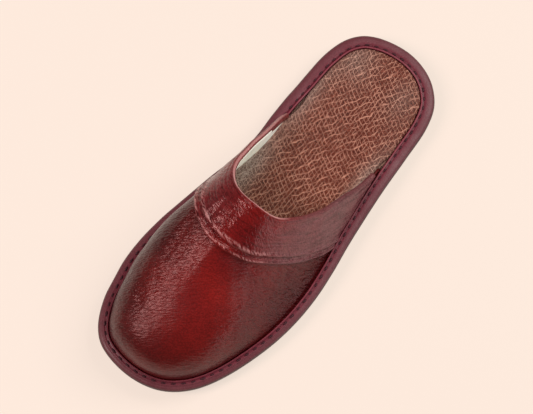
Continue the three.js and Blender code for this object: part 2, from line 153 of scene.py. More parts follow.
def acrossAt(around):
    place = np.mod(np.asarray(around, float), 1.0)
    count = len(loopKnots)
    i = np.clip(np.searchsorted(loopKnots, place, side="right") - 1, 0, count - 1)
    knots = [loopKnots[(i + k) % count] + np.floor_divide(i + k, count) for k in (-1, 0, 1, 2)]
    values = [loopValues[(i + k) % count] for k in (-1, 0, 1, 2)]
    spans = [knots[k + 1] - knots[k] for k in range(3)]
    rates = [(values[k + 1] - values[k]) / spans[k] for k in range(3)]
    slopeA = (rates[0] * spans[1] + rates[1] * spans[0]) / (spans[0] + spans[1])
    slopeB = (rates[1] * spans[2] + rates[2] * spans[1]) / (spans[1] + spans[2])
    return hermite((place - knots[1]) / spans[1], spans[1], values[1], values[2], slopeA, slopeB)


def outlinePoint(around, inset=0.0):
    around = np.asarray(around, float)

    def raw(place):
        forward = shoe["soleLength"] * (1 - np.cos(2 * np.pi * place)) / 2
        return np.stack([acrossAt(place) * shoe["ballWidth"], forward], -1)

    step = 1e-4
    run = raw(around + step) - raw(around - step)
    run /= np.linalg.norm(run, axis=-1, keepdims=True)
    inward = np.stack([-run[..., 1], run[..., 0]], -1)
    return raw(around) + inward * np.broadcast_to(np.asarray(inset, float), around.shape)[..., None]


def liftAt(forward):
    return column(outsoleShape, 2, forward / shoe["soleLength"]) * shoe["toeSpring"]


def deckAt(forward):
    thick = column(outsoleShape, 1, forward / shoe["soleLength"])
    return liftAt(forward) + mix(shoe["outsoleForefoot"], shoe["outsoleHeel"], thick)


def heelOnly(along):
    return 1 - ease(0.225, 0.268, along)


def randWidth(along):
    return mix(shoe["randHeelWidth"], shoe["randToeWidth"], ease(0.1, 0.72, along))


def crownPoint(along):
    across = column(crownShape, 1, along) * shoe["ballWidth"]
    height = column(crownShape, 2, along) * shoe["instepHeight"]
    return np.stack([across, np.asarray(along) * shoe["soleLength"], height], -1)


# A point of the last's surface, z above the top of the rand
def lastPoint(girth, turn):
    girth, turn = np.broadcast_arrays(np.asarray(girth, float), np.asarray(turn, float))
    along = alongOf(turn)
    outer = girth < 0
    edge = outlinePoint(np.where(outer, turn / 2, 1 - turn / 2), randWidth(along) + shoe["seatGap"])
    foot = np.concatenate([edge, np.full(edge.shape[:-1] + (1,), -shoe["lastSink"])], -1)
    crownAt = along - 0.115 * np.clip((along - 0.67) / 0.33, 0, None) ** 2
    crown = crownPoint(crownAt)
    fore, aft = crownPoint(crownAt + 1e-3), crownPoint(crownAt - 1e-3)
    slope = ((fore - aft)[..., 2] / (fore - aft)[..., 1])[..., None]
    lean, rise, reach = (
        np.where(outer, column(outerSide, k, along), column(innerSide, k, along))[..., None]
        for k in (1, 2, 3)
    )
    inward = crown - foot
    height = inward[..., 2:3].copy()
    inward[..., 2] = 0
    up = np.array([0, 0, 1.0])
    low = foot + inward * lean + up * height * rise
    high = crown - inward * reach - up * slope * inward[..., 1:2] * reach
    t = (1 - np.abs(girth))[..., None]
    s = 1 - t
    return foot * s**3 + 3 * low * t * s * s + 3 * high * t * t * s + crown * t**3


def sideNormal(girth, turn):
    forward = lastPoint(girth, turn + 1e-3) - lastPoint(girth, turn - 1e-3)
    sideways = lastPoint(girth + 0.01, turn) - lastPoint(girth - 0.01, turn)
    normal = -np.cross(sideways, forward)
    return normal / np.maximum(np.linalg.norm(normal, axis=-1, keepdims=True), 1e-9)


def lastNormal(girth, turn):
    girth, turn = np.broadcast_arrays(np.asarray(girth, float), np.asarray(turn, float))
    clear = 0.03
    near = (np.abs(girth) < clear)[..., None]
    both = sideNormal(np.full_like(girth, -clear), turn) + sideNormal(np.full_like(girth, clear), turn)
    both /= np.linalg.norm(both, axis=-1, keepdims=True)
    side = sideNormal(girth, turn)
    share = ease(0.03, 0.09, np.abs(girth))[..., None]
    blend = both * (1 - share) + side * share
    blend /= np.linalg.norm(blend, axis=-1, keepdims=True)
    return np.where(near, both, blend)


# From the last's frame to the row's, in metres
def placed(points):
    x, y, z = points[..., 0], points[..., 1], points[..., 2]
    return np.stack([x, shoe["heelCentre"] - y, z + deckAt(y) + shoe["randTop"]], -1) / 1000


def onDeck(plan, height):
    x, y = plan[..., 0], plan[..., 1]
    return np.stack([x, shoe["heelCentre"] - y, deckAt(y) + height], -1) / 1000


# A smooth curve through rows of (along, girth), from 0 to 1 by its length
def pathOf(rows):
    points = np.array(rows, float) * [2.5, 1.0]
    steps = np.sqrt(np.linalg.norm(np.diff(points, axis=0), axis=1))
    knots = np.concatenate([[0], np.cumsum(steps)])
    slopes = np.gradient(points, knots, axis=0)
    fine = np.linspace(0, knots[-1], 2001)
    i = np.clip(np.searchsorted(knots, fine, side="right") - 1, 0, len(knots) - 2)
    span = (knots[i + 1] - knots[i])[:, None]
    t = ((fine - knots[i])[:, None]) / span
    line = hermite(t, span, points[i], points[i + 1], slopes[i], slopes[i + 1])
    length = np.concatenate([[0], np.cumsum(np.linalg.norm(np.diff(line, axis=0), axis=1))])
    length /= length[-1]

    def at(share):
        share = np.asarray(share, float)
        along = np.interp(share, length, line[:, 0]) / 2.5
        return along, np.interp(share, length, line[:, 1])

    crossing = float(np.interp(0.0, line[:, 1], length))
    return at, crossing


collarAt, collarCrown = pathOf(collarCurve)
seamAt, seamCrown = pathOf(seamCurve)
throatTurn = float(turnOf(collarAt(collarCrown)[0]))


# Creases, in mm in the last's plan. Each runs from its first point (x, y), bent towards the
# second, to the third. depth is negative for a trough and positive for a ridge, width its half width.
creases = [
    {"points": ((-24, 158), (-27, 190), (-26, 222)), "depth": 0.45, "width": 1.8},
    {"points": ((-28, 160), (-31, 188), (-29, 215)), "depth": -0.35, "width": 1.6},
    {"points": ((-20, 196), (-22, 214), (-20, 236)), "depth": -0.35, "width": 1.5},
    {"points": ((-33, 172), (-36, 190), (-35, 210)), "depth": 0.3, "width": 1.5},
    {"points": ((-8, 193), (10, 190), (26, 178)), "depth": -0.5, "width": 2.2},
    {"points": ((-2, 197), (14, 194), (30, 181)), "depth": 0.35, "width": 2.0},
    {"points": ((30, 166), (36, 176), (41, 190)), "depth": -0.4, "width": 1.8},
    {"points": ((-12, 162), (-14, 174), (-12, 188)), "depth": 0.4, "width": 2.2},
    {"points": ((-19, 160), (-22, 172), (-21, 186)), "depth": -0.45, "width": 1.8},
    {"points": ((20, 154), (24, 163), (32, 170)), "depth": -0.3, "width": 1.8},
    {"points": ((-36, 226), (-30, 240), (-20, 252)), "depth": -0.25, "width": 2.4},
]


# Height added along the normal by the creases, in mm
def creaseOffset(points):
    plan = points[..., :2]
    total = np.zeros(plan.shape[:-1])
    steps = 24
    t = np.linspace(0, 1, steps + 1)[:, None]
    for crease in creases:
        a, b, c = (np.array(p, float) for p in crease["points"])
        line = a * (1 - t) ** 2 + 2 * b * t * (1 - t) + c * t * t
        best = np.full(total.shape, 1e9)
        place = np.zeros(total.shape)
        for k, spot in enumerate(line):
            gap = np.linalg.norm(plan - spot, axis=-1)
            closer = gap < best
            best = np.where(closer, gap, best)
            place = np.where(closer, k / steps, place)
        fade = ease(0, 0.3, place) * (1 - ease(0.7, 1, place))
        total += crease["depth"] * fade * np.exp(-((best / crease["width"]) ** 2))
    return total


# A smooth wandering value, mostly from -1 to 1, from a few crossed waves
def softNoise(points, size, seed):
    random = np.random.default_rng(seed)
    total = np.zeros(points.shape[:-1])
    waves = 7
    for _ in range(waves):
        way = random.normal(size=3)
        way /= np.linalg.norm(way)
        wave = 2 * np.pi / (size * random.uniform(0.7, 1.5))
        total += np.sin(points @ way * wave + random.uniform(0, 6.28))
    return 2 * total / waves


def added(name, data):
    obj = bpy.data.objects.new(name, data)
    bpy.context.scene.collection.objects.link(obj)
    return obj


# One closed mesh from grids of points. A patch has points, and it may have uv and a material number
def makePiece(name, patches, materials):
    points, faces, uvs, numbers = [], [], [], []
    base = 0
    for patch in patches:
        grid = patch["points"]
        rows, count = grid.shape[:2]
        uv = patch.get("uv")
        if uv is None:
            u, v = np.meshgrid(np.linspace(0, 1, rows), np.linspace(0, 1, count), indexing="ij")
            uv = np.stack([u, v], -1)
        index = base + np.arange(rows * count).reshape(rows, count)
        a, b, c, d = index[:-1, :-1], index[1:, :-1], index[1:, 1:], index[:-1, 1:]
        quad = np.stack([a, b, c, d], -1).reshape(-1, 4)
        points.append(grid.reshape(-1, 3))
        uvs.append(uv.reshape(-1, 2))
        faces.append(quad)
        numbers.append(np.full(len(quad), patch.get("material", 0)))
        base += rows * count
    points, faces, uvs, numbers = map(np.concatenate, (points, faces, uvs, numbers))
    mesh = bpy.data.meshes.new(name)
    mesh.from_pydata(points.tolist(), [], faces.tolist())
    layer = mesh.uv_layers.new(name="UVMap")
    loops = np.zeros(len(mesh.loops), np.int32)
    mesh.loops.foreach_get("vertex_index", loops)
    layer.data.foreach_set("uv", uvs[loops].astype(np.float32).ravel())
    mesh.polygons.foreach_set("material_index", numbers.astype(np.int32))
    for material in materials:
        mesh.materials.append(material)
    build = bmesh.new()
    build.from_mesh(mesh)
    bmesh.ops.remove_doubles(build, verts=build.verts, dist=4e-6)
    bmesh.ops.dissolve_degenerate(build, edges=build.edges, dist=1e-7)
    bmesh.ops.recalc_face_normals(build, faces=build.faces)
    if build.calc_volume(signed=True) < 0:
        bmesh.ops.reverse_faces(build, faces=build.faces)
    openEdges = sum(1 for edge in build.edges if len(edge.link_faces) != 2)
    build.to_mesh(mesh)
    build.free()
    mesh.polygons.foreach_set("use_smooth", np.full(len(mesh.polygons), True))
    print("stage:", name, len(mesh.polygons), "faces,", openEdges, "open edges")
    return added(name, mesh)


# Each input takes a link from a socket or a plain value.
def fill(made, inputs):
    for key, value in dict(inputs).items():
        socket = made.inputs[key]
        if isinstance(value, bpy.types.NodeSocket):
            made.id_data.links.new(value, socket)
        else:
            socket.default_value = value
    return made


def node(tree, kind, inputs=(), **settings):
    made = tree.nodes.new(kind)
    for key, value in settings.items():
        setattr(made, key, value)
    return fill(made, inputs)


# A material whose surface takes the inputs that finish(tree, look) gives. look holds its colours and sizes
def newMaterial(name, finish, look):
    material = bpy.data.materials.new(name)
    material.use_nodes = True
    tree = material.node_tree
    tree.nodes.clear()
    surface = node(tree, "ShaderNodeBsdfPrincipled", finish(tree, look))
    node(tree, "ShaderNodeOutputMaterial", {0: surface.outputs[0]})
    return material


def objectPlace(tree):
    return node(tree, "ShaderNodeTexCoord").outputs["Object"]


# The piece's own UV map, and its second coordinate, which runs across a strip
def stripPlace(tree):
    run = node(tree, "ShaderNodeUVMap", uv_map="UVMap").outputs[0]
    return run, node(tree, "ShaderNodeSeparateXYZ", {0: run}).outputs[1]


def painted(tree, name):
    return node(tree, "ShaderNodeAttribute", attribute_name=name).outputs["Fac"]


def noise(tree, where, scale, detail=4.0, roughness=0.55, distortion=0.0):
    inputs = {"Vector": where, "Scale": scale, "Detail": detail, "Roughness": roughness}
    inputs["Distortion"] = distortion
    return node(tree, "ShaderNodeTexNoise", inputs).outputs[0]


def mapped(tree, where, turn, scale, **settings):
    inputs = {"Vector": where, "Rotation": (0, 0, turn), "Scale": scale}
    return node(tree, "ShaderNodeMapping", inputs, **settings).outputs[0]


def cellular(tree, where, size, randomness, feature):
    inputs = {"Vector": where, "Scale": 1 / size, "Randomness": randomness}
    return node(tree, "ShaderNodeTexVoronoi", inputs, feature=feature).outputs["Distance"]


def mathNode(tree, operation, a, b=0.5, clamp=False):
    return node(tree, "ShaderNodeMath", {0: a, 1: b}, operation=operation, use_clamp=clamp).outputs[0]


def times(tree, a, b):
    return mathNode(tree, "MULTIPLY", a, b)


def ramp(tree, value, low, high, start=0.0, end=1.0):
    inputs = {"Value": value, "From Min": low, "From Max": high, "To Min": start, "To Max": end}
    return node(tree, "ShaderNodeMapRange", inputs).outputs[0]


def mixColour(tree, share, a, b):
    return node(tree, "ShaderNodeMix", {0: share, 6: a, 7: b}, data_type="RGBA").outputs[2]


def dimmed(tree, colour, light):
    return node(tree, "ShaderNodeHueSaturation", {"Color": colour, "Value": light}).outputs[0]


def raised(tree, height, depth, strength=1.0):
    inputs = {"Height": height, "Strength": strength, "Distance": depth}
    return node(tree, "ShaderNodeBump", inputs).outputs[0]


# A colour as read from a screen, 0 to 255, in the renderer's linear values
def rgb(red, green, blue):
    def linear(value):
        value /= 255
        return value / 12.92 if value <= 0.04045 else ((value + 0.055) / 1.055) ** 2.4

    return (linear(red), linear(green), linear(blue), 1.0)


upperLook = {
    "deep": rgb(108, 20, 24),
    "warm": rgb(158, 32, 27),
    # dark is the colour of the shade painted at the toe and low on the sides.
    "dark": rgb(56, 10, 14),
    "wrinkle": 0.00115,
    "wrinkleTurn": 0.65,
    "wrinkleWay": (3.4, 1.0, 3.4),
    "wrinkleDepth": 0.001,
    "grain": 0.00105,
    "grainDepth": 0.00012,
    "pores": 0.3,
    "tint": (1.0, 0.62, 0.6, 1.0),
    "streak": 0.0,
    # Colour of the painted highlight along the band's turned edge and seam ridges.
    "worn": rgb(246, 182, 180),
    "roughness": 0.33,
    "specular": 0.5,
}


# Leather: wrinkles that run round the foot and a fine pebble over them, their troughs and the pebble's
# grooves painted darker as shade. Where the look has a streak, there are streaks along the piece's own
# length, also with painted shade in their troughs, and a painted highlight along the turned edge and the
# seam's ridges too.
def leather(tree, look):
    where = objectPlace(tree)
    across = mapped(tree, where, look["wrinkleTurn"], look["wrinkleWay"], vector_type="TEXTURE")
    # The second painted value carries painted shade on the upper and painted sheen on the band.
    creased, value = painted(tree, "crease"), painted(tree, "painted_light")
    wrinkle = noise(tree, across, 1 / look["wrinkle"], 1.0, 0.4, 0.4)
    cells = cellular(tree, where, look["grain"], 1.0, "F1")
    broad = noise(tree, where, 34.0, 3.0)
    patchy = noise(tree, where, 14.0, 3.0)
    heights = [(cells, -look["grainDepth"]), (wrinkle, look["wrinkleDepth"])]
    # Painted highlight: pale pink painted on the turned edge's crest and on the seam's ridges.
    paintedHighlight, streaks = 0.0, None
    if look["streak"]:
        run, over = stripPlace(tree)
        start, end = look["rim"]
        paintedHighlight = times(tree, ramp(tree, over, *start), ramp(tree, over, *end, 1.0, 0.0))
        paintedHighlight = times(tree, paintedHighlight, ramp(tree, value, 0.55, 0.85, 0.0, 0.8))
        for low, high in look["ridges"]:
            middle, half = (low + high) / 2, (high - low) / 2
            away = mathNode(tree, "ABSOLUTE", mathNode(tree, "SUBTRACT", over, middle))
            ridge = ramp(tree, away, 0.0, half, look["ridgeWear"], 0.0)
            ridge = times(tree, ridge, ramp(tree, wrinkle, 0.42, 0.6))
            ridge = times(tree, ridge, ramp(tree, value, 0.2, 0.6))
            paintedHighlight = mathNode(tree, "MAXIMUM", paintedHighlight, ridge)
        long = node(tree, "ShaderNodeVectorMath", {0: run, 1: look["streakWay"]}, operation="MULTIPLY")
        streaks = noise(tree, long.outputs[0], 1.0, 2.5, 0.5, 0.5)
        heights.append((streaks, look["streak"]))
    normal = None
    for height, depth in heights:
        inputs = {"Height": height, "Distance": abs(depth)}
        if height is not streaks:
            inputs["Strength"] = creased
        if normal is not None:
            inputs["Normal"] = normal
        normal = node(tree, "ShaderNodeBump", inputs, invert=depth < 0).outputs[0]
    colour = mixColour(tree, ramp(tree, patchy, 0.38, 0.66), look["deep"], look["warm"])
    # Painted shade on the upper and painted sheen on the band, with random blotches, pull the colour towards
    # the look's dark colour here.
    paintedLightAndBlotch = mathNode(tree, "ADD", value, ramp(tree, broad, 0.3, 0.7, -0.1, 0.1), True)
    colour = mixColour(tree, paintedLightAndBlotch, look["dark"], colour)
    # Painted shade: the troughs of the wrinkles where creased, the grooves between the pebbles and the
    # troughs of the streaks are painted darker.
    shade = times(tree, ramp(tree, wrinkle, 0.36, 0.52, 0.3, 0.0), creased)
    shade = mathNode(tree, "ADD", shade, ramp(tree, cells, 0.3, 0.7, 0.0, look["pores"]))
    if streaks:
        shade = mathNode(tree, "ADD", shade, ramp(tree, streaks, 0.36, 0.52, 0.26, 0.0))
    colour = dimmed(tree, colour, mathNode(tree, "SUBTRACT", 1.0, shade))
    return {
        "Base Color": mixColour(tree, paintedHighlight, colour, look["worn"]),
        "Normal": normal,
        "Roughness": ramp(tree, broad, 0.3, 0.75, look["roughness"] - 0.04, look["roughness"] + 0.07),
        "Specular IOR Level": look["specular"],
        "Specular Tint": look["tint"],
    }


# The lining's glow makes it glow a little: painted light that brightens it inside the walls, where it lies in
# shade.
liningLook = {"pale": rgb(255, 255, 246), "shade": rgb(246, 248, 228), "thread": 0.0006, "glow": 0.2}


def cloth(tree, look):
    where = objectPlace(tree)
    weave = noise(tree, where, 1 / look["thread"], 2.0, 0.7)
    broad = noise(tree, where, 40.0, 3.0)
    colour = mixColour(tree, ramp(tree, broad, 0.3, 0.7), look["shade"], look["pale"])
    return {
        "Base Color": colour, "Normal": raised(tree, weave, 0.00015, 0.8), "Roughness": 0.9,
        "Sheen Weight": 0.3, "Emission Color": colour, "Emission Strength": look["glow"],
    }


# rim and ridges are shares of the way from the seam (0) to the collar and round its edge (1). There the
# colour is painted pale pink as a highlight, on the turned edge's crest and on the seam's ridges.
bandLook = dict(
    upperLook,
    warm=rgb(162, 32, 28),
    deep=rgb(112, 20, 24),
    # Here dark is a mauve, the colour of the sheen painted on the outer side.
    dark=rgb(130, 80, 84),
    rim=((0.87, 0.905), (0.94, 0.97)),
    ridges=[(0.02, 0.08), (0.17, 0.27)],
    ridgeWear=0.48,
    streak=0.0004,
    streakWay=(11.0, 24.0, 1.0),
    wrinkleTurn=-0.45,
    roughness=0.23,
)

# Colours of the rand from its outer edge (0) to its inner lip (1): darker down the outer edge, painted dark
# as shade in the stitch groove and on the lip's inner face, and a pale line along the lip's crest as a
# painted highlight
randLook = {
    "stops": [
        (0.0, rgb(50, 20, 26)), (0.05, rgb(84, 40, 46)), (0.12, rgb(112, 58, 66)), (0.5, rgb(122, 60, 70)),
        (0.64, rgb(118, 36, 54)), (0.84, rgb(96, 20, 38)), (0.92, rgb(160, 74, 88)), (1.0, rgb(86, 18, 32)),
    ],
    "grain": 0.0011,
    "grainDepth": 0.00016,
    "roughness": 0.46,
}


def edgeLeather(tree, look):
    where = objectPlace(tree)
    over = stripPlace(tree)[1]
    grain = noise(tree, where, 1 / look["grain"], 3.0, 0.6)
    broad = noise(tree, where, 60.0, 3.0)
    shifted = mathNode(tree, "ADD", over, ramp(tree, broad, 0.3, 0.7, -0.02, 0.02))
    paint = node(tree, "ShaderNodeValToRGB", {0: shifted})
    for number, (place, colour) in enumerate(look["stops"]):
        stop = paint.color_ramp.elements[number] if number < 2 else paint.color_ramp.elements.new(place)
        stop.position, stop.color = place, colour
    return {
        "Base Color": dimmed(tree, paint.outputs[0], ramp(tree, grain, 0.3, 0.7, 0.8, 1.15)),
        "Normal": raised(tree, grain, look["grainDepth"]),
        "Roughness": ramp(tree, broad, 0.3, 0.7, look["roughness"] - 0.06, look["roughness"] + 0.08),
    }


insoleLook = {
    "cell": 0.0012,
    "cellTurn": 0.3,
    "cellWay": (1.0, 0.72, 0.2),
    "lines": [
        {"turn": 0.0, "spacing": 0.0023, "wander": 3.0, "thin": 0.965},
        {"turn": -1.02, "spacing": 0.0026, "wander": 3.2, "thin": 0.965},
        {"turn": 0.55, "spacing": 0.0041, "wander": 4.5, "thin": 0.97},
    ],
    "dark": rgb(34, 12, 8),
    "base": rgb(122, 46, 30),
    "net": rgb(178, 98, 74),
    "line": rgb(222, 160, 136),
    # edge and edgeDark are the pale greys of the sheen painted on the footbed.
    "edge": rgb(204, 192, 180),
    "edgeDark": rgb(140, 116, 104),
    # under is the brightness left by the shade painted under the vamp.
    "under": 0.62,
    "depth": 0.0004,
    "roughness": 0.5,
}


# Leather with small dark cells in a net of paler lines, and longer creases that cross
def crackedLeather(tree, look):
    where = objectPlace(tree)
    turned = mapped(tree, where, look["cellTurn"], look["cellWay"])
    cells = cellular(tree, turned, look["cell"], 0.8, "DISTANCE_TO_EDGE")
    mesh = ramp(tree, cells, 0.02, 0.17, 1.0, 0.0)
    creases = None
    for spec in look["lines"]:
        along = mapped(tree, where, spec["turn"], (1.0, 1.0, 0.1))
        inputs = {"Vector": along, "Scale": 0.314 / spec["spacing"], "Distortion": spec["wander"]}
        inputs |= {"Detail": 2.0, "Detail Scale": 1.6}
        wave = node(tree, "ShaderNodeTexWave", inputs).outputs["Fac"]
        line = ramp(tree, wave, spec["thin"] - 0.1, spec["thin"] + 0.03)
        patchy = ramp(tree, noise(tree, along, 190.0, 2.0), 0.36, 0.6, 0.15, 1.0)
        line = times(tree, line, patchy)
        creases = line if creases is None else mathNode(tree, "MAXIMUM", creases, line)
    grain = noise(tree, where, 1100.0, 2.0, 0.6)
    broad = noise(tree, where, 30.0, 4.0)
    cellColour = mixColour(tree, ramp(tree, grain, 0.36, 0.66), look["dark"], look["base"])
    colour = mixColour(tree, times(tree, mesh, 0.8), cellColour, look["net"])
    colour = mixColour(tree, ramp(tree, broad, 0.35, 0.65, 0.0, 0.35), colour, look["base"])
    colour = mixColour(tree, creases, colour, look["line"])
    lit = mathNode(tree, "MAXIMUM", mesh, creases)
    # Painted sheen: where the painted value falls below 1, the footbed turns to the pale greys of a sheen.
    worn = mixColour(tree, lit, look["edgeDark"], look["edge"])
    colour = mixColour(tree, painted(tree, "painted_light"), worn, colour)
    height = mathNode(tree, "ADD", times(tree, grain, 0.3), lit)
    return {
        # Painted shade under the vamp dims the colour here.
        "Base Color": dimmed(tree, colour, ramp(tree, painted(tree, "shaded"), 0.0, 1.0, 1.0, look["under"])),
        "Normal": raised(tree, height, look["depth"]),
        "Roughness": ramp(tree, broad, 0.3, 0.7, look["roughness"] - 0.06, look["roughness"] + 0.08),
        "Specular IOR Level": 0.4,
    }


outsoleLook = {"base": rgb(46, 28, 28), "dust": rgb(74, 54, 50), "roughness": 0.72}


def rubber(tree, look):
    where = objectPlace(tree)
    broad = noise(tree, where, 45.0, 5.0, 0.65)
    return {
        "Base Color": mixColour(tree, ramp(tree, broad, 0.45, 0.85, 0.0, 0.6), look["base"], look["dust"]),
        "Normal": raised(tree, noise(tree, where, 1800.0, 3.0), 0.0002, 0.7),
        "Roughness": look["roughness"],
    }


threadLook = {"base": rgb(44, 6, 18), "light": rgb(78, 14, 34)}


def thread(tree, look):
    twist = noise(tree, objectPlace(tree), 2600.0, 1.0)
    return {"Base Color": mixColour(tree, twist, look["base"], look["light"]), "Roughness": 0.6}


upperLeather = newMaterial("upper_leather", leather, upperLook)
bandLeather = newMaterial("band_leather", leather, bandLook)
randLeather = newMaterial("rand_leather", edgeLeather, randLook)
liningCloth = newMaterial("lining_cloth", cloth, liningLook)
insoleLeather = newMaterial("insole_leather", crackedLeather, insoleLook)
outsoleRubber = newMaterial("outsole_rubber", rubber, outsoleLook)
stitchThread = newMaterial("stitch_thread", thread, threadLook)


# A value per vertex that a material blends by; by default it is the painted light: painted shade on the
# upper, painted sheen on the band and the footbed. The function takes x and y as in the last, and z above the
# floor, all in mm
def paintTone(obj, function, name="painted_light"):
    mesh = obj.data
    points = np.zeros(len(mesh.vertices) * 3, np.float32)
    mesh.vertices.foreach_get("co", points)
    points = points.reshape(-1, 3).astype(float) * 1000
    last = np.stack([points[:, 0], shoe["heelCentre"] - points[:, 1], points[:, 2]], -1)
    layer = mesh.attributes.new(name, "FLOAT", "POINT")
    layer.data.foreach_set("value", np.clip(function(last), 0, 1).astype(np.float32))


# Upper. marginInset and the two heights place the turned-out margin that the rand holds, in mm.
# swell, ripple and gather are the leather's unevenness: height and size in mm, then a seed.
upperForm = {
    "collarSteps": 56, "toeSteps": 120, "heightSteps": 88,
    "marginInset": 3.0, "marginTop": 6.2, "marginUnder": 4.9,
    "swell": (0.22, 26, 3), "ripple": (0.1, 11, 5),
}


def uneven(points, wave):
    return wave[0] * softNoise(points, wave[1], wave[2])


def upperSides():
    patches = []
    count = np.arange(upperForm["collarSteps"] + upperForm["toeSteps"] + 1)
    share = np.clip(count / upperForm["collarSteps"], 0, 1)
    toe = np.clip((count - upperForm["collarSteps"]) / upperForm["toeSteps"], 0, 1)
    up = np.linspace(0, 1, upperForm["heightSteps"] + 1)
    for side in (-1, 1):
        end = 0.0 if side < 0 else 1.0
        along, girth = collarAt(mix(end, collarCrown, share))
        tipTurn = float(turnOf(collarAt(end)[0]))
        topTurn = np.where(toe > 0, mix(throatTurn, 1.0, toe), turnOf(along))
        topGirth = np.where(share >= 1, 0.0, np.abs(girth))
        footTurn = np.where(toe > 0, topTurn, mix(tipTurn, throatTurn, share))
        turn = mix(footTurn[:, None], topTurn[:, None], up[None])
        around = side * np.maximum(1e-9, mix(1.0, topGirth[:, None], up[None]))
        root, normal = lastPoint(around, turn), lastNormal(around, turn)
        worn = creaseOffset(root) + uneven(root, upperForm["swell"]) + uneven(root, upperForm["ripple"])
        worn *= ease(0.0, 0.12, up)[None]
        outside = placed(root + normal * worn[..., None])
        inside = placed(root - normal * (shoe["leatherThickness"] - 0.1))
        place = np.where(side < 0, footTurn / 2, 1 - footTurn / 2)
        rim = outlinePoint(place, upperForm["marginInset"])
        rimTop = onDeck(rim, upperForm["marginTop"])[:, None]
        rimUnder = onDeck(rim, upperForm["marginUnder"])[:, None]
        footInside = inside[:, :1].copy()
        footDeck = deckAt(shoe["heelCentre"] - footInside[..., 1] * 1000)
        footInside[..., 2] = (footDeck + upperForm["marginUnder"]) / 1000
        outside = np.concatenate([rimTop, outside], 1)
        inside = np.concatenate([rimUnder, footInside, inside[:, 1:]], 1)
        opened = slice(0, upperForm["collarSteps"] + 1)
        patches += [
            {"points": outside},
            {"points": inside, "material": 1},
            {"points": np.concatenate([rimTop, rimUnder], 1)},
            {"points": np.stack([outside[opened, -1], inside[opened, -1]], 1)},
            {"points": np.stack([outside[0], inside[0]], 0)},
        ]
    return patches


upper = makePiece("upper_skin", upperSides(), [upperLeather, liningCloth])


# Painted shade: redder over the middle of the vamp, and painted darker as shade at the toe and low on the
# sides
def upperPaintedShade(last):
    x, y, z = last[:, 0], last[:, 1], last[:, 2]
    middle = np.exp(-(((x + 2) / 30) ** 2)) * (1 - ease(222, 272, y))
    return 0.25 - 0.25 * ease(24, 46, -x) + 0.75 * middle * ease(14, 40, z)


# Smooth over the crown, wrinkled on both sides
def upperCrease(last):
    x, y = last[:, 0], last[:, 1]
    sides = np.maximum(0.4 * ease(6, 30, -x), 0.4 * ease(14, 40, x))
    return 0.5 + sides - 0.2 * ease(150, 230, y)


paintTone(upper, upperPaintedShade)
paintTone(upper, upperCrease, "crease")
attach(upper, "root")
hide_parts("upper")

# Instep band, turned over the collar's edge, in mm. A fold is its distance from the seam, or for rimFold
# from the collar, its half width and its height. roll is how far the turned edge goes past the collar,
# and rollInner how deep its inner end lies.
bandForm = {
    "alongSteps": 300, "acrossSteps": 44, "ends": (0.03, 0.985), "thickness": 1.5,
    "folds": [(1.1, 0.9, 0.75), (4.4, 0.9, -0.75), (6.6, 1.4, 0.6)],
    "gather": (0.55, 5.0, 8), "gatherAt": (5.0, 1.8), "rimFold": (4.2, 0.8, -0.35),
    "swell": (0.25, 22, 11), "ripple": (0.1, 8, 12),
    "roll": 1.9, "rollInner": 2.45, "edgeLift": 0.2, "turnDepth": 1.4, "floor": 0.35,
}


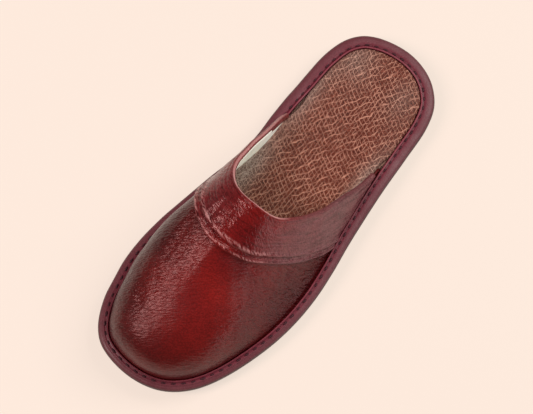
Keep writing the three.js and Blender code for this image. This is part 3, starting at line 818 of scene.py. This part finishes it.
def bandSides():
    share = np.linspace(0, 1, bandForm["alongSteps"] + 1)
    side = share * 2 - 1

    def reach(crown):
        return np.where(side < 0, crown * (1 + side), crown + (1 - crown) * side)

    low, high = bandForm["ends"]
    place = mix(low, high, reach((collarCrown - low) / (high - low)))
    edgeAlong, edgeGirth = collarAt(place)
    seamAlong, seamGirth = seamAt(reach(seamCrown))
    back = np.linspace(0, 1, bandForm["acrossSteps"] + 1) ** 1.15
    turn = turnOf(mix(seamAlong[:, None], edgeAlong[:, None], back[None]))
    girth = mix(seamGirth[:, None], edgeGirth[:, None], back[None])
    root, normal = lastPoint(girth, turn), lastNormal(girth, turn)
    steps = np.linalg.norm(np.diff(root, axis=1), axis=-1)
    fromSeam = np.concatenate([np.zeros((len(share), 1)), np.cumsum(steps, axis=1)], 1)
    fromEdge = fromSeam[:, -1:] - fromSeam

    def fold(distance, middle, wide, high=1.0):
        return high * np.exp(-(((distance - middle) / wide) ** 2))

    profile = bandForm["thickness"] + sum(fold(fromSeam, *row) for row in bandForm["folds"])
    profile += uneven(root, bandForm["gather"]) * fold(fromSeam, *bandForm["gatherAt"])
    profile += fold(fromEdge, *bandForm["rimFold"]) + creaseOffset(root)
    profile += uneven(root, bandForm["swell"]) + uneven(root, bandForm["ripple"])
    outside = root + normal * profile[..., None]

    def collarBeside(shift):
        along, girth = collarAt(np.clip(place + shift, 0, 1))
        return lastPoint(girth, turnOf(along))

    edgeRoot, edgeNormal = root[:, -1], normal[:, -1]
    away = np.cross(collarBeside(0.004) - collarBeside(-0.004), edgeNormal)
    away /= np.linalg.norm(away, axis=-1, keepdims=True)
    away *= np.sign(np.sum(away * (edgeRoot - root[:, -4]), -1))[:, None]
    deep = np.minimum(bandForm["turnDepth"], 0.5 * np.maximum(0, edgeRoot[:, 2]))
    endOffset, rollInner, lift = profile[:, -1], bandForm["rollInner"], bandForm["edgeLift"]

    # A point out from the collar's edge along its normal, and past it, in mm
    def local(offset, past):
        offset, past = (np.broadcast_to(value, deep.shape)[:, None] for value in (offset, past))
        return edgeRoot + edgeNormal * offset + away * past

    turnOver = []
    middle, half = (endOffset - rollInner) / 2, (endOffset + rollInner) / 2
    for angle in np.radians(np.linspace(10, 180, 14)):
        past = lift + bandForm["roll"] * math.sin(angle)
        turnOver.append(local(middle + half * math.cos(angle), past))
    for down in (0.3, 0.6, 0.85):
        turnOver.append(local(-rollInner, lift - deep * down))
    turnOver.append(local(0.1 - rollInner, lift - deep))
    outside = np.concatenate([outside, np.stack(turnOver, 1)], 1)
    inner = root + normal * 0.15
    underRows = [(0.15, 0.25), (-0.8, 0.35), (-1.75, 0.25), (-1.8, 0.0)]
    under = [local(*row) for row in underRows]
    rest = outside.shape[1] - inner.shape[1] - len(under)
    for k in range(rest):
        under.append(local(-1.8, (lift - deep) * (k + 1) / rest))
    inner = np.concatenate([inner, np.stack(under, 1)], 1)
    outside[..., 2] = np.maximum(outside[..., 2], bandForm["floor"])
    inner[..., 2] = np.maximum(inner[..., 2], bandForm["floor"] - 0.05)
    outside, inner = placed(outside), placed(inner)
    lined = bandForm["acrossSteps"] + 10
    return [
        {"points": outside[:, : lined + 1]},
        {"points": outside[:14, lined:]},
        {"points": outside[13:-34, lined:], "material": 1},
        {"points": outside[-35:, lined:]},
        {"points": inner},
        {"points": np.stack([outside[:, 0], inner[:, 0]], 1)},
        {"points": np.stack([outside[:, -1], inner[:, -1]], 1)},
        {"points": np.stack([outside[0], inner[0]], 0)},
        {"points": np.stack([outside[-1], inner[-1]], 0)},
    ]


band = makePiece("instep_band_skin", bandSides(), [bandLeather, liningCloth])


# Painted sheen: red over the crown and the inner side, and a mauve sheen painted on the outer side
def bandPaintedSheen(last):
    x, z = last[:, 0], last[:, 2]
    return 0.05 + 0.6 * (1 - ease(0, 28, x)) + 0.4 * np.exp(-((x / 26) ** 2)) * ease(16, 46, z)


def bandCrease(last):
    x = last[:, 0]
    return 0.45 + 0.25 * ease(0, 18, -x) * (1 - ease(36, 48, -x)) - 0.1 * ease(6, 26, x)


paintTone(band, bandPaintedSheen)
paintTone(band, bandCrease, "crease")
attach(band, "root")
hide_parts("instep_band")


# Rand: topRows are the rows of its section that show from above. Its worn unevenness is given in metres.
randForm = {"steps": 620, "heelDrop": 1.6, "topRows": 14, "wornRows": (3, 16), "worn": 0.00012}


def randTopAt(along):
    return shoe["randTop"] - randForm["heelDrop"] * heelOnly(along)


# Rows of (inset from the outline, height above the outsole), in mm: the inner lip with its stitch groove,
# the round outer side, the underside and, from the second row at inset 8 on, the hollow inside
def randSection(width, top):
    return [
        (width, top - 1.35), (width, top - 0.75), (width - 0.15, top - 0.1), (width - 0.6, top + 0.32),
        (width - 1.1, top + 0.3), (width - 1.7, top - 0.02), (width - 2.2, top - 0.3),
        (width - 2.8, top - 0.1), (width - 3.6, top), (3.2, top - 0.05), (2.0, top - 0.3),
        (1.0, top - 0.85), (0.35, top - 1.7), (0.05, top - 2.7), (0.0, (top + 0.3) / 2), (0.1, 2.3),
        (0.45, 1.4), (1.0, 0.8), (1.8, 0.42), (2.8, 0.3), (8.0, 0.3), (8.0, 1.5), (2.4, 1.5),
        (1.6, 2.2), (1.6, top - 2.1), (2.4, top - 1.4),
    ]


# Places round the outline and how far along the sole each is
def roundOutline(steps):
    around = np.linspace(0, 1, steps + 1)
    return around, alongOf(np.where(around < 0.5, around * 2, 2 - around * 2))


def randGrid():
    around, along = roundOutline(randForm["steps"])
    width = randWidth(along)
    rings, shares = [], []
    for number, (inset, height) in enumerate(randSection(width, randTopAt(along))):
        inset = np.broadcast_to(inset, around.shape)
        plan = outlinePoint(around % 1, inset)
        rings.append(onDeck(plan, np.broadcast_to(height, around.shape)))
        shares.append(inset / width if number < randForm["topRows"] else inset * 0)
    grid, over = np.stack(rings, 1), np.stack(shares, 1)
    grid, over = np.concatenate([grid, grid[:, :1]], 1), np.concatenate([over, over[:, :1]], 1)
    rows = slice(*randForm["wornRows"])
    grid[:, rows, 2] += softNoise(grid * 1000, 9, 21)[:, rows] * randForm["worn"]
    grid[-1] = grid[0]
    return {"points": grid, "uv": np.stack([np.broadcast_to(around[:, None], over.shape), over], -1)}


rand = makePiece("rand_strip", [randGrid()], [randLeather])
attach(rand, "root")
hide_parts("rand")


# The sections of a sole piece, as one grid per side. A row is (inset, share to the middle, height above
# the outsole), and a fourth value says that its height counts from the tread.
def soleGrid(rows, stations):
    turn = np.linspace(0, 1, stations + 1)
    along = alongOf(turn)
    tables = [rows(along, side) for side in (0, 1)]
    spread = [np.broadcast_to(np.asarray(row[0], float), along.shape) for row in tables[0] + tables[1]]
    deepest = np.max(spread, axis=0)
    deep = [outlinePoint(turn / 2, deepest), outlinePoint(1 - turn / 2, deepest)]
    middle = (deep[0] + deep[1]) / 2
    grids = []
    for side, around in ((0, turn / 2), (1, 1 - turn / 2)):
        lines = []
        for inset, share, height, *onFloor in tables[side]:
            plan = outlinePoint(around, inset)
            if np.any(share):
                plan = mix(deep[side], middle, share)
            point = onDeck(plan, np.broadcast_to(height, along.shape))
            if onFloor:
                point[:, 2] = (liftAt(plan[:, 1]) + height) / 1000
            lines.append(point)
        grids.append(np.stack(lines, 1))
    return grids


outsoleForm = {"stations": 420, "archStart": (0.27, 0.285), "archEnd": (0.46, 0.6)}


def outsoleRows(along, side):
    arch = ease(*outsoleForm["archStart"], along) * (1 - ease(*outsoleForm["archEnd"], along))
    arch *= shoe["heelStep"]
    rows = [(14, 1, arch, True), (14, 0, arch, True), (6, 0, arch, True), (3.2, 0, arch, True)]
    rows += [(2.5, 0, arch + 0.25, True), (2.0, 0, arch + 0.9, True)]
    rows += [(1.9, 0, -2.5), (1.75, 0, -2.25), (1.0, 0, -2.05), (0.8, 0, -1.8), (0.7, 0, -0.5)]
    rows += [(0.85, 0, -0.12), (1.3, 0, 0), (8, 0, 0), (14, 0, 0), (14, 1, 0)]
    return rows


outsoleGrids = soleGrid(outsoleRows, outsoleForm["stations"])
outsole = makePiece("outsole_rubber_body", [{"points": grid} for grid in outsoleGrids], [outsoleRubber])
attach(outsole, "root")
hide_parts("outsole")


# The footbed, in mm. room is what it leaves for the upper's wall beside the rand's lip, and lift how far
# its rim climbs that wall between the collar's tips and the instep. uneven is in metres.
footbed = {
    "stations": 300, "base": 4.6, "rise": 2.8, "dish": 1.2, "roomOuter": (2.3, 2.9), "roomInner": 2.0,
    "liftOuter": 2.5, "liftInner": 8.5, "rimRows": 12, "uneven": 0.00018,
}


def insoleRows(along, side):
    wings = ease(0.24, 0.35, along) * (1 - ease(0.56, 0.7, along))
    lift = footbed["liftInner" if side else "liftOuter"] * wings
    room = mix(*footbed["roomOuter"], ease(0.29, 0.38, along))
    if side:
        room = mix(footbed["roomInner"], room, ease(0.7, 0.95, along))
    out = lift * (0.19 if side else 0.0)
    pad = randWidth(along) + shoe["seatGap"] + mix(room, 0.1, heelOnly(along))
    base, seat = footbed["base"], shoe["seatGap"]
    crest = base + footbed["rise"]
    inner = randWidth(along) + 14
    rows = [(inner, 1, seat), (8.4, 0, seat), (8.4, 0, 1.8), (2.6, 0, 1.8), (1.9, 0, 2.3), (1.9, 0, 4.1)]
    rows += [(2.4, 0, base), (pad, 0, base), (pad, 0, crest - 1.6)]
    rows += [(pad + 0.3 - 0.6 * out, 0, crest - 0.8 + 0.5 * lift)]
    rows += [(pad + 0.5 - out, 0, crest - 0.3 + lift), (pad + 1.0 - out, 0, crest - 0.1 + lift)]
    rows += [(pad + 1.8 - 0.5 * out, 0, crest + 0.72 * lift), (pad + 3.2 - 0.2 * out, 0, crest + 0.42 * lift)]
    rows += [(pad + 5.0, 0, crest + 0.2 * lift), (pad + 7.5, 0, crest + 0.06 * lift), (inner, 0, crest)]
    dish = footbed["dish"] * ease(0, 0.05, along) * ease(0, 0.05, 1 - along)
    for share in np.arange(1, 25) / 24:
        rows.append((inner, share, crest - dish * math.sin(share * math.pi / 2) ** 1.4))
    return rows


insoleGrids = soleGrid(insoleRows, footbed["stations"])
for grid in insoleGrids:
    above = grid[:, footbed["rimRows"] :]
    above[..., 2] += softNoise(above * 1000, 24, 31) * footbed["uneven"]
    grid[:, -1, 2] = insoleGrids[0][:, -1, 2]
insole = makePiece("insole_pad", [{"points": grid} for grid in insoleGrids], [insoleLeather])


# Painted sheen: paler spots of the footbed: x, y, half width and half length in mm, and share.
insoleSheen = [
    (-31, 128, 8, 24, 0.85), (34, 92, 6, 26, 0.6), (-31, 66, 7, 26, 0.55), (20, 30, 10, 16, 0.22),
    (-20, 26, 12, 16, 0.35),
]


def insolePaintedSheen(last):
    x, y = last[:, 0], last[:, 1]
    pale = np.zeros(len(last))
    for cx, cy, wide, long, share in insoleSheen:
        pale += share * np.exp(-(((x - cx) / wide) ** 2) - ((y - cy) / long) ** 2)
    return 1 - pale


# Painted shade: darker and browner towards the vamp and under it
def insoleShade(last):
    return ease(105, 160, last[:, 1])


paintTone(insole, insolePaintedSheen)
paintTone(insole, insoleShade, "shaded")
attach(insole, "root")
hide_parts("insole")


# Stitches along the rand, instanced on a line and turned into plain mesh. inset and sink, in mm, are
# measured from the rand's inner lip and from its top, and the other sizes are in metres.
stitchLook = {
    "pitch": 0.0063, "length": 0.0033, "radius": 0.00075, "spread": (0.85, 1.12), "seed": 4,
    "inset": 2.3, "sink": 0.12, "steps": 1600,
}


def stitchLine():
    around, along = (values[:-1] for values in roundOutline(stitchLook["steps"]))
    inset = randWidth(along) - stitchLook["inset"]
    points = onDeck(outlinePoint(around, inset), randTopAt(along) - stitchLook["sink"])
    mesh = bpy.data.meshes.new("stitch_line")
    edges = [(i, (i + 1) % len(points)) for i in range(len(points))]
    mesh.from_pydata(points.tolist(), edges, [])
    return added("rand_stitches", mesh)


def stitchTree(look, material):
    tree = bpy.data.node_groups.new("stitches", "GeometryNodeTree")
    face = tree.interface
    face.new_socket("Geometry", in_out="INPUT", socket_type="NodeSocketGeometry")
    face.new_socket("Geometry", in_out="OUTPUT", socket_type="NodeSocketGeometry")
    for name in ("pitch", "length", "radius"):
        face.new_socket(name, in_out="INPUT", socket_type="NodeSocketFloat").default_value = look[name]
    entry, leave = tree.nodes.new("NodeGroupInput"), tree.nodes.new("NodeGroupOutput")
    curve = node(tree, "GeometryNodeMeshToCurve", {0: entry.outputs["Geometry"]})
    spacing = {"Curve": curve.outputs[0], "Length": entry.outputs["pitch"]}
    even = node(tree, "GeometryNodeResampleCurve", spacing, mode="LENGTH")
    ball = node(tree, "GeometryNodeMeshUVSphere", {"Segments": 10, "Rings": 8, "Radius": 1.0})
    radius, half = entry.outputs["radius"], times(tree, entry.outputs["length"], 0.5)
    shape = node(tree, "ShaderNodeCombineXYZ", {0: radius, 1: radius, 2: half})
    tangent = node(tree, "GeometryNodeInputTangent")
    aim = node(tree, "FunctionNodeAlignRotationToVector", {"Vector": tangent.outputs[0]}, axis="Z")
    limits = {2: look["spread"][0], 3: look["spread"][1], "Seed": look["seed"]}
    random = node(tree, "FunctionNodeRandomValue", limits, data_type="FLOAT")
    scaled = {0: shape.outputs[0], "Scale": random.outputs[1]}
    size = node(tree, "ShaderNodeVectorMath", scaled, operation="SCALE")
    placing = {"Points": even, "Instance": ball, "Rotation": aim, "Scale": size}
    inputs = {key: source.outputs[0] for key, source in placing.items()}
    copies = node(tree, "GeometryNodeInstanceOnPoints", inputs)
    real = node(tree, "GeometryNodeRealizeInstances", {0: copies.outputs[0]})
    paint = node(tree, "GeometryNodeSetMaterial", {"Geometry": real.outputs[0], "Material": material})
    fill(leave, {0: paint.outputs[0]})
    return tree


stitches = stitchLine()
modifier = stitches.modifiers.new("stitches", "NODES")
modifier.node_group = stitchTree(stitchLook, stitchThread)
graph = bpy.context.evaluated_depsgraph_get()
stitchMesh = bpy.data.meshes.new_from_object(stitches.evaluated_get(graph))
stitches.modifiers.clear()
stitches.data = stitchMesh
stitchMesh.polygons.foreach_set("use_smooth", np.full(len(stitchMesh.polygons), True))
print("stage: stitches", len(stitchMesh.polygons), "faces")
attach(stitches, "root")

# Floor, light and camera
studio = {
    "floor": rgb(253, 238, 225),
    "floorHalf": 3.0,
    "floorDrop": 0.0002,
    "paper": rgb(146, 134, 126),
    "glow": 0.75,
    "world": rgb(255, 244, 236),
    "worldStrength": 0.13,
}
lights = {
    "behind": {
        "place": (0.45, 0.85, 1.2), "size": (0.9, 0.9), "power": 14.0, "colour": (1.0, 0.955, 0.92),
    },
    "toeInner": {
        "place": (-0.62, -0.88, 1.2), "size": (0.4, 0.75), "power": 12.0, "colour": (1.0, 0.78, 0.76),
    },
    "outerLow": {
        "place": (1.5, 0.25, 0.14), "size": (1.3, 0.2), "power": 2.4, "colour": (0.94, 0.97, 1.0),
    },
}
lightAim = (0.0, -0.12, 0.04)
floorMesh = bpy.data.meshes.new("floor")
half = studio["floorHalf"]
corners = [(-half, -half), (half, -half), (half, half), (-half, half)]
floorMesh.from_pydata([(x, y, -studio["floorDrop"]) for x, y in corners], [], [(0, 1, 2, 3)])
floor = added("floor", floorMesh)


def paper(_, look):
    return {
        "Base Color": look["paper"], "Roughness": 0.95, "Specular IOR Level": 0.1,
        "Emission Color": look["floor"], "Emission Strength": look["glow"],
    }


floorMesh.materials.append(newMaterial("floor_paper", paper, studio))

bpy.context.scene.view_settings.view_transform = "Standard"
world = bpy.data.worlds.new("studio")
bpy.context.scene.world = world
world.use_nodes = True
fill(world.node_tree.nodes["Background"], {"Color": studio["world"], "Strength": studio["worldStrength"]})

for name, spec in lights.items():
    data = bpy.data.lights.new(name, "AREA")
    data.energy = spec["power"]
    data.color = spec["colour"]
    data.shape = "RECTANGLE"
    data.size, data.size_y = spec["size"]
    light = added(name, data)
    light.location = spec["place"]
    light.rotation_mode = "QUATERNION"
    light.rotation_quaternion = (Vector(lightAim) - Vector(spec["place"])).to_track_quat("-Z", "Y")

# The camera stands over the toe's outer side. right is its horizontal direction. The picture's middle
# lies aimPixels to the right of centre and below it.
photoCamera = {
    "place": (0.1258, -0.3401, 1.066),
    "centre": (-0.0583, -0.1086, 0.0139),
    "right": (0.7826, 0.6225, 0.0),
    "focalPixels": 1702.0,
    "widthPixels": 533,
    "sensorWidth": 36.0,
    "aimPixels": (72.0, 41.0),
}
cameraData = bpy.data.cameras.new("camera")
cameraData.sensor_width = photoCamera["sensorWidth"]
cameraData.lens = photoCamera["sensorWidth"] * photoCamera["focalPixels"] / photoCamera["widthPixels"]
camera = added("camera", cameraData)
place = Vector(photoCamera["place"])
ahead = (Vector(photoCamera["centre"]) - place).normalized()
right = Vector(photoCamera["right"]).normalized()
down = ahead.cross(right).normalized()
right = down.cross(ahead).normalized()
aimRight, aimDown = (value / photoCamera["focalPixels"] for value in photoCamera["aimPixels"])
aimed = (ahead + right * aimRight + down * aimDown).normalized()
sideways = (right - aimed * right.dot(aimed)).normalized()
upward = sideways.cross(aimed)
camera.matrix_world = Matrix.Translation(place) @ Matrix((sideways, upward, -aimed)).transposed().to_4x4()
cameraData.clip_start, cameraData.clip_end = 0.05, 20.0
bpy.context.scene.camera = camera
print("stage: camera and lights")
